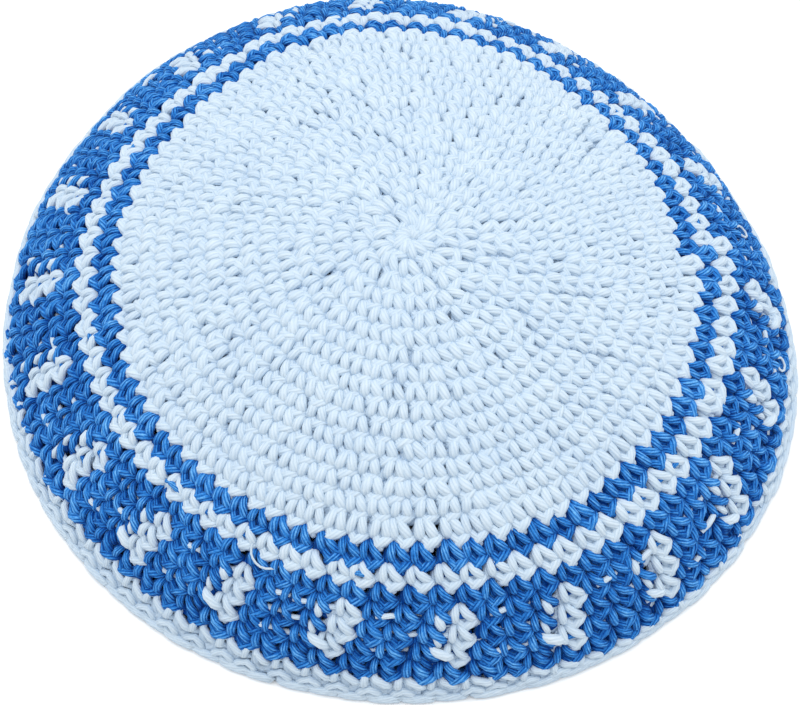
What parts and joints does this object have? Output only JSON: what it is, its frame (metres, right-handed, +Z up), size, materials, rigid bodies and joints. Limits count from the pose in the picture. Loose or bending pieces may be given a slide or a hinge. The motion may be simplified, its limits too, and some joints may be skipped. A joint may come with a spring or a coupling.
{
  "type": "crocheted skullcap",
  "caption": "Round crocheted kippah skullcap: white domed crown, thin blue and white rounds, deep blue band with short white bars, and a white edging at the rim.",
  "frame": {"origin": "middle of the rim's outline, on the surface that the cap stands on", "axes": "+Z up through the crown, +X to the right and +Y away from the viewer as the cap is pictured"},
  "size_m": [0.1502, 0.1504, 0.036],
  "materials": {
    "white_cotton": "matte crocheted cotton yarn",
    "blue_cotton": "matte crocheted cotton yarn"
  },
  "bodies": {
    "root": {"crown": "white_cotton", "blue_round": "blue_cotton", "white_round": "white_cotton", "pattern_band": "blue_cotton", "edging": "white_cotton"}
  },
  "joints": []
}
